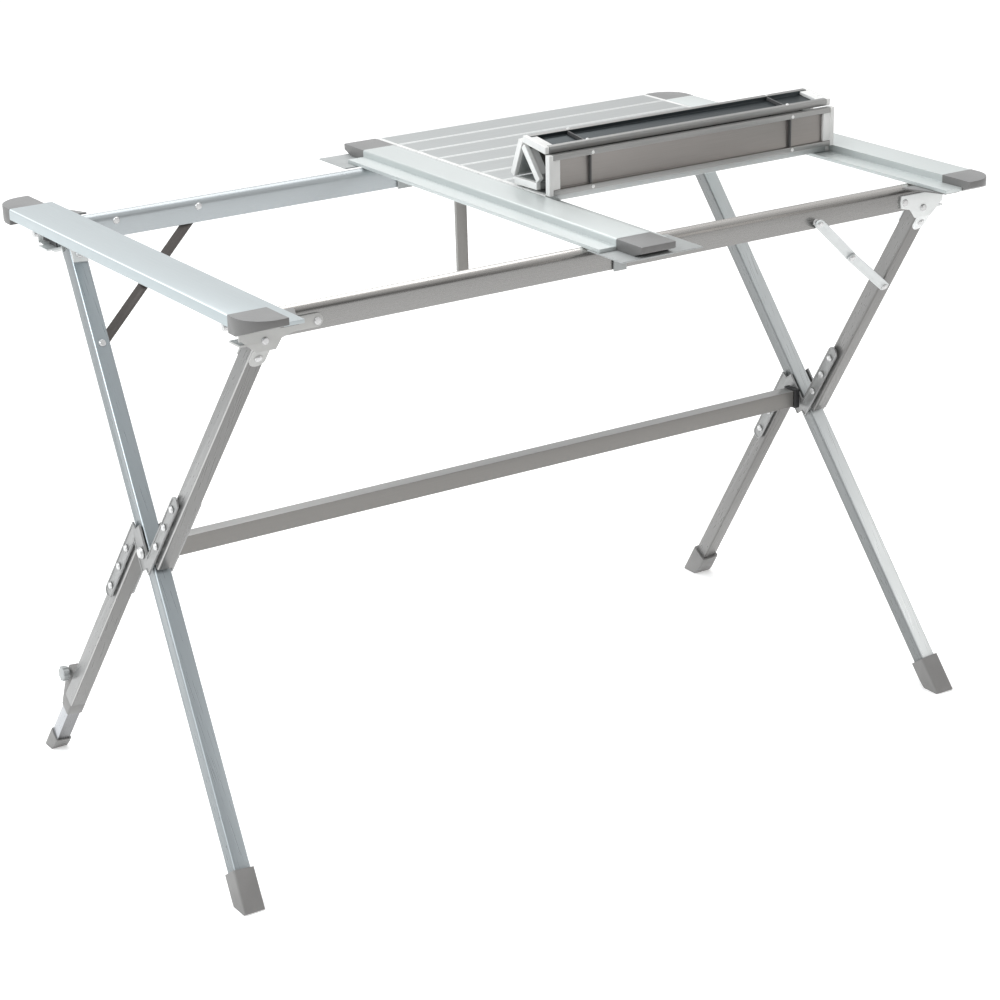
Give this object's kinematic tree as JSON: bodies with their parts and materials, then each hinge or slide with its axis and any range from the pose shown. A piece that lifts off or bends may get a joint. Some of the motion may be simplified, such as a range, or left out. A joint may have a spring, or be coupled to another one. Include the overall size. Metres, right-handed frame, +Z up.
{
  "type": "folding table",
  "caption": "Camping table: end panels and a crossbar on two rails over folding scissor leg frames, with a roll-up slat top on one side and an open bay on the other.",
  "frame": {"origin": "on the floor, under the middle of the table top", "axes": "+X along the table, +Y to the rear rail, +Z up"},
  "size_m": [1.1002, 0.7, 0.8083],
  "materials": {
    "rail": "satin",
    "leg": "satin",
    "bar": "satin",
    "black": "matt",
    "dark_plastic": "matt",
    "foot_plastic": "fine matt texture",
    "cap_plastic": "fine matt texture",
    "plate": "zinc plated",
    "bracket": "bright zinc plated",
    "brace": "zinc plated",
    "fastener": "polished",
    "panel": "fine satin anodised",
    "latch": "zinc plated",
    "levelling_leg": "satin",
    "flat_slat": "brushed along the slat",
    "rolled_slat": "mill finish, matt",
    "plug": "satin"
  },
  "bodies": {
    "rear_frame": {"rear_rail": "rail", "rear_rail_plugs": "dark_plastic", "left_main_leg": "leg", "right_main_leg": "leg", "stretcher_bar": "bar", "stretcher_sockets": "black", "left_pivot_bolt": "fastener", "right_pivot_bolt": "fastener", "rear_left_bracket": "bracket", "rear_right_bracket": "bracket", "rear_brace_upper": "brace", "rear_brace_lower": "brace", "rear_frame_rivets": "fastener", "front_foot_caps": "foot_plastic"},
    "front_frame": {"front_rail": "rail", "front_rail_plugs": "dark_plastic", "left_upper_leg": "leg", "right_upper_leg": "leg", "left_lower_leg": "leg", "right_lower_leg": "leg", "left_outer_plate": "plate", "left_inner_plate": "plate", "right_outer_plate": "plate", "right_inner_plate": "plate", "front_left_bracket": "bracket", "front_right_bracket": "bracket", "front_brace_upper": "brace", "front_brace_lower": "brace", "front_frame_rivets": "fastener", "rear_foot_cap": "foot_plastic", "clamp_collar": "foot_plastic"},
    "levelling_foot": {"levelling_leg": "levelling_leg", "levelling_pad": "foot_plastic"},
    "clamp_screw": {"clamp_knob": "dark_plastic"},
    "left_top": {"left_end_panel": "panel", "left_panel_caps": "cap_plastic", "left_panel_knob": "black"},
    "right_top": {"right_end_panel": "panel", "right_panel_caps": "cap_plastic", "right_panel_knob": "black"},
    "middle_top": {"crossbar": "panel", "crossbar_caps": "cap_plastic", "crossbar_latches": "latch", "crossbar_clips": "latch", "hanger_bar": "bar"},
    "slat_mat": {"flat_slats": "flat_slat", "flat_slat_plugs": "plug"},
    "mat_slat_9": {"slat_9": "rolled_slat", "slat_9_plugs": "plug"},
    "mat_slat_10": {"slat_10": "rolled_slat", "slat_10_plugs": "plug"},
    "mat_slat_11": {"slat_11": "rolled_slat", "slat_11_plugs": "plug"},
    "mat_slat_12": {"slat_12": "rolled_slat", "slat_12_plugs": "plug"},
    "mat_slat_13": {"slat_13": "rolled_slat", "slat_13_plugs": "plug"}
  },
  "joints": [
    {"name": "frame_fold", "type": "hinge", "parent": "rear_frame", "child": "front_frame", "pos_m": [0, 0, 0.3673], "axis": [-1, 0, 0], "range_deg": [0, 66]},
    {"name": "left_top_lift", "type": "slide", "parent": "rear_frame", "child": "left_top", "axis": [0, 0, 1], "range_m": [0, 0.6]},
    {"name": "right_top_lift", "type": "slide", "parent": "rear_frame", "child": "right_top", "axis": [0, 0, 1], "range_m": [0, 0.6]},
    {"name": "middle_top_lift", "type": "slide", "parent": "rear_frame", "child": "middle_top", "axis": [0, 0, 1], "range_m": [0, 0.6]},
    {"name": "mat_lift", "type": "slide", "parent": "rear_frame", "child": "slat_mat", "axis": [0, 0, 1], "range_m": [0, 0.6]},
    {"name": "mat_unroll", "type": "hinge", "parent": "slat_mat", "child": "mat_slat_9", "pos_m": [0.2577, -0.0726, 0.74], "axis": [1, 0, 0], "range_deg": [0, 88.9]},
    {"name": "slat_10_turn", "type": "hinge", "parent": "mat_slat_9", "child": "mat_slat_10", "pos_m": [0.2577, -0.07361, 0.79259], "axis": [1, 0, 0], "range_deg": [0, 83.8]},
    {"name": "slat_11_turn", "type": "hinge", "parent": "mat_slat_10", "child": "mat_slat_11", "pos_m": [0.2577, -0.02146, 0.79946], "axis": [1, 0, 0], "range_deg": [0, 73.6]},
    {"name": "slat_12_turn", "type": "hinge", "parent": "mat_slat_11", "child": "mat_slat_12", "pos_m": [0.2577, 0.00002, 0.75144], "axis": [1, 0, 0], "range_deg": [0, 115.3]},
    {"name": "slat_13_turn", "type": "hinge", "parent": "mat_slat_12", "child": "mat_slat_13", "pos_m": [0.2577, -0.05257, 0.75236], "axis": [1, 0, 0], "range_deg": [0, 129.6]},
    {"name": "levelling_slide", "type": "slide", "parent": "front_frame", "child": "levelling_foot", "axis": [-0.0671, 0.5783, -0.8131], "range_m": [0, 0.04]},
    {"name": "clamp_turn", "type": "hinge", "parent": "front_frame", "child": "clamp_screw", "pos_m": [-0.54237, 0.23122, 0.12977], "axis": [-0.9966, 0, 0.0823], "range_deg": [0, 270]}
  ],
  "couplings": [
    {"joint": "left_top_lift", "follows": "frame_fold", "m_per_rad": 0.5},
    {"joint": "right_top_lift", "follows": "frame_fold", "m_per_rad": 0.5},
    {"joint": "middle_top_lift", "follows": "frame_fold", "m_per_rad": 0.5},
    {"joint": "mat_lift", "follows": "frame_fold", "m_per_rad": 0.5},
    {"joint": "slat_10_turn", "follows": "mat_unroll", "ratio": 0.94038},
    {"joint": "slat_11_turn", "follows": "mat_unroll", "ratio": 0.82565},
    {"joint": "slat_12_turn", "follows": "mat_unroll", "ratio": 1.2947},
    {"joint": "slat_13_turn", "follows": "mat_unroll", "ratio": 1.4556}
  ]
}
